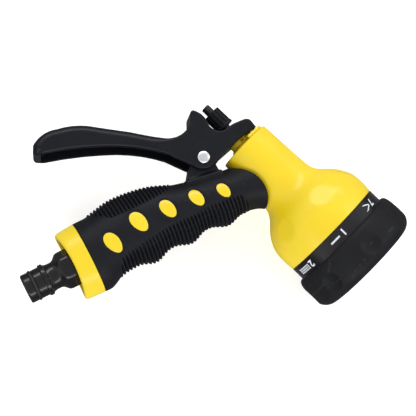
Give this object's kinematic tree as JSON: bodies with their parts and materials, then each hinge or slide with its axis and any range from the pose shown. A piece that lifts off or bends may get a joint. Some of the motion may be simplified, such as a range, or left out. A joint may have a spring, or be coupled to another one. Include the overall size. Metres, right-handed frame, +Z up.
{
  "type": "hose spray nozzle",
  "caption": "Pistol-grip garden hose nozzle with a rear trigger, a turning pattern dial and a quick-connect tail piece.",
  "frame": {"origin": "middle of the box round the tool, at its lowest level, with the tool lying on its side", "axes": "+X from the tail piece towards the dial, +Y towards the trigger side, +Z up, square to the tool's median plane"},
  "size_m": [0.212, 0.1118, 0.0688],
  "materials": {
    "yellow_body": "satin-gloss moulded ABS",
    "soft_grip": "matte soft-touch",
    "soft_dial": "matte soft-touch",
    "black_gloss": "gloss",
    "black_satin": "satin",
    "grey_face": "fine texture",
    "dark_rod": "smooth",
    "steel": "polished",
    "seal_rubber": "smooth",
    "inner_plastic": "natural"
  },
  "bodies": {
    "frame": {"body_shell": "yellow_body", "grip_sleeve": "soft_grip", "end_collar": "yellow_body", "water_tube": "inner_plastic", "hose_connector": "black_gloss", "connector_o_ring": "seal_rubber", "connector_gasket": "seal_rubber", "inlet_filter": "steel", "pivot_bracket": "black_satin", "pivot_pin": "steel", "pin_clip": "steel", "gland_nut": "yellow_body", "gland_clip": "yellow_body", "gland_o_ring": "seal_rubber", "spring_washer": "steel", "valve_spring": "steel", "valve_seat": "inner_plastic", "seat_o_ring": "seal_rubber", "distributor": "inner_plastic", "distributor_o_ring": "seal_rubber", "port_seal": "seal_rubber", "port_spring": "steel", "detent_ball": "steel", "detent_spring": "steel", "dial_screw": "steel", "screw_washer": "steel"},
    "trigger": {"trigger_lever": "black_satin"},
    "valve_stem": {"valve_rod": "dark_rod", "valve_poppet": "inner_plastic", "poppet_seal": "seal_rubber"},
    "knob": {"flow_knob": "black_satin"},
    "dial": {"dial_ring": "black_gloss", "dial_grip": "soft_dial", "spray_face": "grey_face", "jet_insert": "black_gloss", "cone_insert": "black_gloss", "mist_insert": "black_gloss"}
  },
  "joints": [
    {"name": "trigger", "type": "hinge", "parent": "frame", "child": "trigger", "pos_m": [-0.00848, 0.02354, 0.0344], "axis": [0, 0, 1], "range_deg": [0, 18.5], "stiffness_Nm_per_rad": 1.5, "springref_deg": -11.46},
    {"name": "valve_stem", "type": "slide", "parent": "frame", "child": "valve_stem", "axis": [-0.723, 0.6909, 0], "range_m": [0, 0.0085], "deforming": ["valve_spring"]},
    {"name": "flow_knob", "type": "hinge", "parent": "valve_stem", "child": "knob", "pos_m": [-0.00292, 0.05108, 0.0344], "axis": [0.723, -0.6909, 0], "range_deg": [0, 1080]},
    {"name": "dial", "type": "hinge", "parent": "frame", "child": "dial", "pos_m": [0.06446, -0.01331, 0.0344], "axis": [0.723, -0.6909, 0], "continuous": true}
  ],
  "couplings": [
    {"joint": "valve_stem", "follows": "trigger", "m_per_rad": 0.0252}
  ]
}
